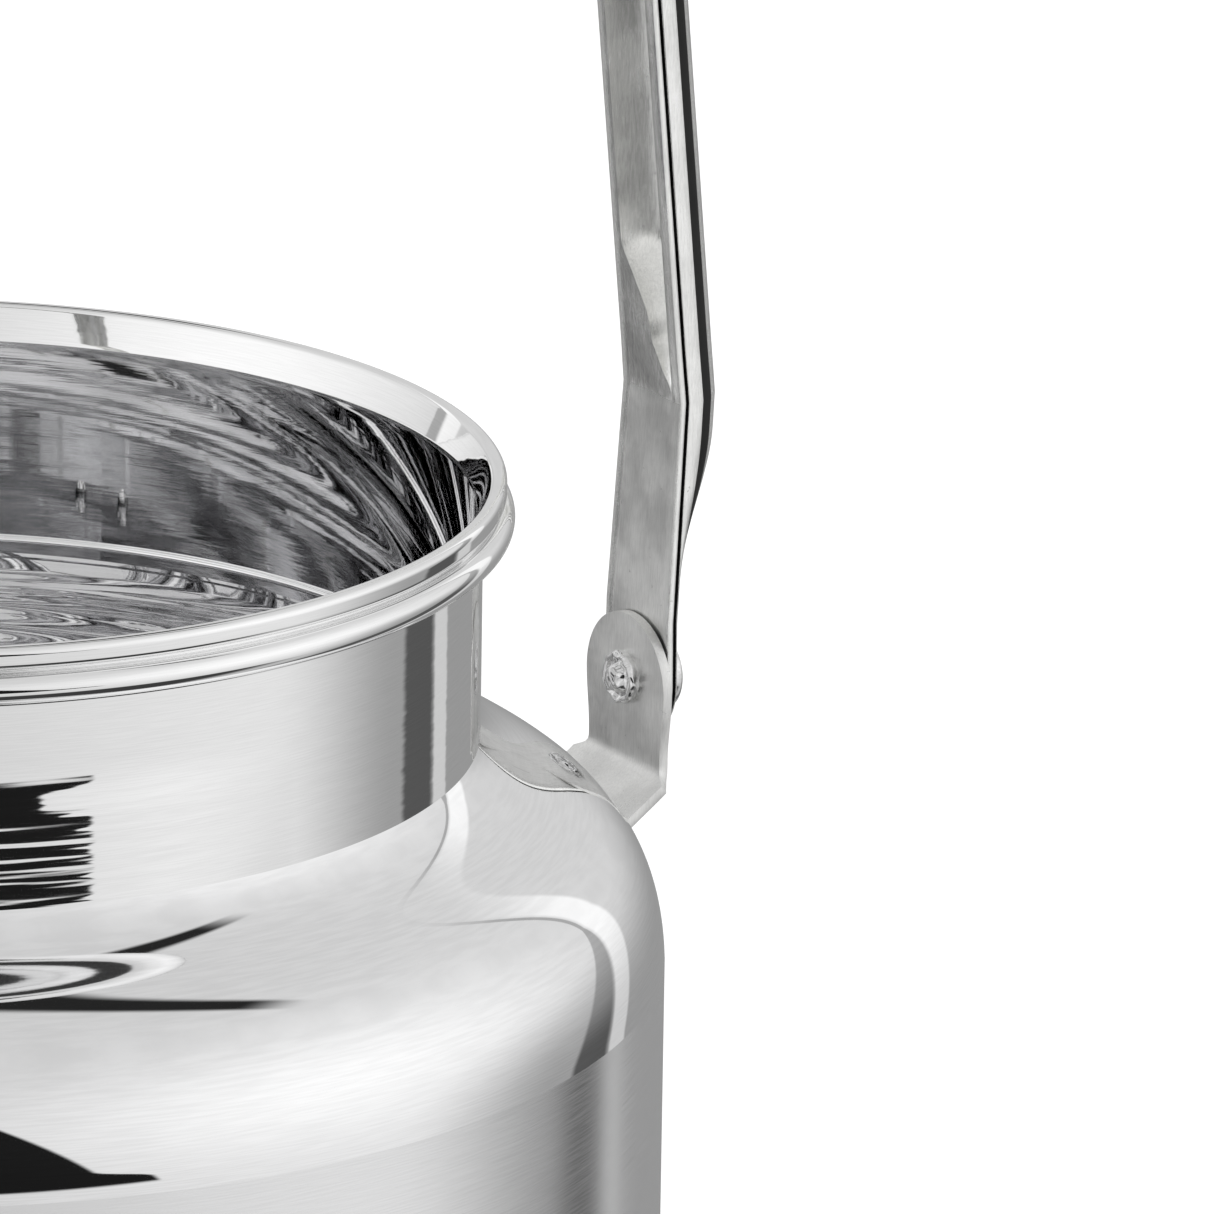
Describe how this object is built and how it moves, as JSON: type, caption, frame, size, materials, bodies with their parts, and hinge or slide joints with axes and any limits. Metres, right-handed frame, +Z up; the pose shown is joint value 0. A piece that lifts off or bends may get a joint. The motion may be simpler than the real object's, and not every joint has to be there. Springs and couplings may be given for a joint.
{
  "type": "milk can",
  "caption": "Open cylindrical sheet-metal milk can with a domed shoulder, a rolled rim and a swinging bail handle on two riveted ears.",
  "frame": {"origin": "on the can's axis, at the plane the foot ring rests on", "axes": "+Z up along the can's axis; the bail's pivots lie along X; the two sides of the bail's swing are -Y and +Y"},
  "size_m": [0.2244, 0.1828, 0.3446],
  "materials": {
    "polished_steel": "mirror-polished stainless sheet",
    "wire_steel": "drawn wire",
    "bracket_steel": "satin stainless strip",
    "rivet_steel": "peened stainless",
    "handle_steel": "bright pressed stainless"
  },
  "bodies": {
    "can": {"body_shell": "polished_steel", "bottom_plate": "polished_steel", "foot_ring": "polished_steel", "shoulder": "polished_steel", "neck_collar": "polished_steel", "rim_wire": "wire_steel", "ear_bracket_right": "bracket_steel", "ear_bracket_left": "bracket_steel", "bracket_rivet_right_front": "rivet_steel", "bracket_rivet_right_rear": "rivet_steel", "bracket_rivet_left_front": "rivet_steel", "bracket_rivet_left_rear": "rivet_steel", "pivot_rivet_right": "rivet_steel", "pivot_rivet_left": "rivet_steel"},
    "bail": {"bail_handle": "handle_steel"}
  },
  "joints": [
    {"name": "bail_swing", "type": "hinge", "parent": "can", "child": "bail", "pos_m": [0, 0, 0.1868], "axis": [1, 0, 0], "range_deg": [-140, 140]}
  ]
}
